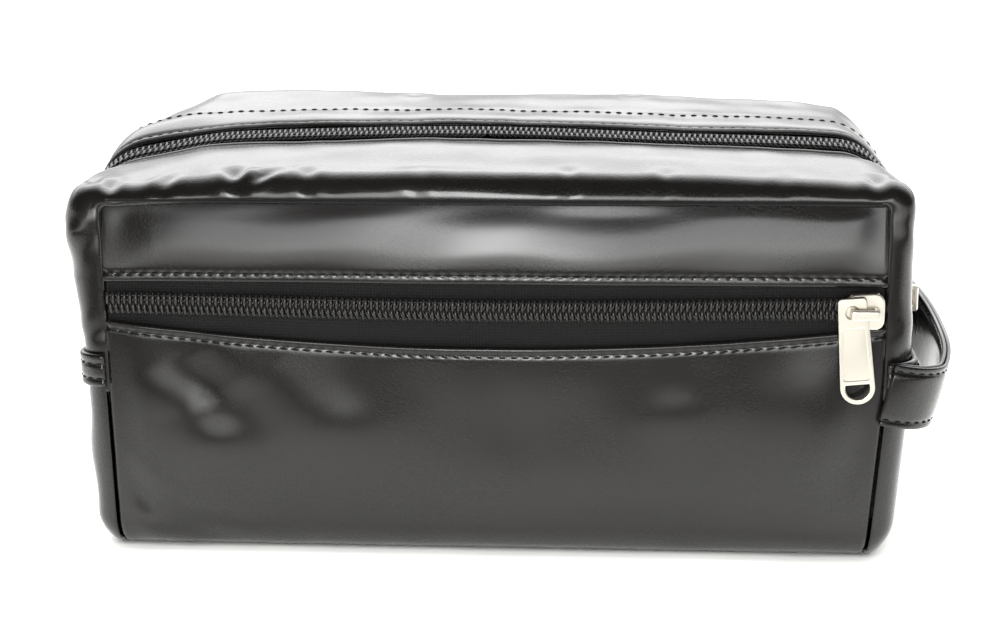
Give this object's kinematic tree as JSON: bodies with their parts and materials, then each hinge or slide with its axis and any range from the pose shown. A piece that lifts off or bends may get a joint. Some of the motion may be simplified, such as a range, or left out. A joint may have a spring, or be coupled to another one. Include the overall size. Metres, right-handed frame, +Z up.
{
  "type": "toiletry bag",
  "caption": "Boxy soft leather wash bag with a zipped top that opens over both ends, a zipped flat front pocket, metal pull tabs and a loop strap on one end.",
  "frame": {"origin": "middle of the flat base, on the surface that the bag stands on", "axes": "+X along the bag towards the loop strap, -Y out of the front pocket, +Z up"},
  "size_m": [0.2499, 0.123, 0.1137],
  "materials": {
    "leather": "black coated leather, fine grain, glossy",
    "strap": "black coated leather, two layers sewn together",
    "zip_tape": "black woven polyester",
    "zip_coil": "black nylon",
    "zip_metal": "warm pale nickel plate, satin",
    "lining": "black woven polyester",
    "binding": "black binding tape",
    "board": "grey stiffening board"
  },
  "bodies": {
    "bag": {"front_upper_panel": "leather", "body_wrap": "leather", "left_end_panel": "leather", "right_end_panel": "leather", "left_gusset_front": "leather", "left_gusset_rear": "leather", "right_gusset_front": "leather", "right_gusset_rear": "leather", "left_end_band": "leather", "right_end_band": "leather", "wrist_strap_inner": "strap", "wrist_strap_outer": "strap", "left_zip_tape_front": "zip_tape", "left_zip_tape_rear": "zip_tape", "right_zip_tape_front": "zip_tape", "right_zip_tape_rear": "zip_tape", "front_zip_tape_upper": "zip_tape", "front_zip_tape_lower": "zip_tape", "front_zip_coil_upper": "zip_coil", "front_zip_coil_lower": "zip_coil", "left_zip_coil_front": "zip_coil", "left_zip_coil_rear": "zip_coil", "right_zip_coil_front": "zip_coil", "right_zip_coil_rear": "zip_coil", "body_lining": "lining", "pocket_lining": "lining", "front_seam_binding": "binding", "rear_seam_binding": "binding", "base_board": "board"},
    "mouth_front": {"top_front_strip": "leather", "main_zip_tape_front": "zip_tape", "main_zip_coil_front": "zip_coil", "top_front_lining": "lining"},
    "mouth_rear": {"top_rear_strip": "leather", "main_zip_tape_rear": "zip_tape", "main_zip_coil_rear": "zip_coil", "top_rear_lining": "lining"},
    "front_slider": {"front_slider_body": "zip_metal", "front_slider_bridge": "zip_metal"},
    "front_pull": {"front_pull_tab": "zip_metal"},
    "main_slider": {"main_slider_body": "zip_metal", "main_slider_bridge": "zip_metal"},
    "main_pull": {"main_pull_tab": "zip_metal"}
  },
  "joints": [
    {"name": "mouth_front_fold", "type": "hinge", "parent": "bag", "child": "mouth_front", "pos_m": [0, -0.057, 0.104], "axis": [1, 0, 0], "range_deg": [0, 90]},
    {"name": "mouth_rear_fold", "type": "hinge", "parent": "bag", "child": "mouth_rear", "pos_m": [0, 0.057, 0.104], "axis": [-1, 0, 0], "range_deg": [0, 90]},
    {"name": "front_slider_run", "type": "slide", "parent": "bag", "child": "front_slider", "axis": [-1, 0, 0], "range_m": [0, 0.195], "deforming": ["front_zip_coil_upper", "front_zip_coil_lower"]},
    {"name": "front_pull_swing", "type": "hinge", "parent": "front_slider", "child": "front_pull", "pos_m": [0.0979, -0.057, 0.0745], "axis": [0, 1, 0], "range_deg": [0, 165]},
    {"name": "main_slider_run", "type": "slide", "parent": "bag", "child": "main_slider", "axis": [0, 0, 1], "range_m": [0, 0.024], "deforming": ["right_zip_coil_front", "right_zip_coil_rear"]},
    {"name": "main_pull_swing", "type": "hinge", "parent": "main_slider", "child": "main_pull", "pos_m": [0.117, 0, 0.059], "axis": [1, 0, 0], "range_deg": [-70, 70]}
  ]
}
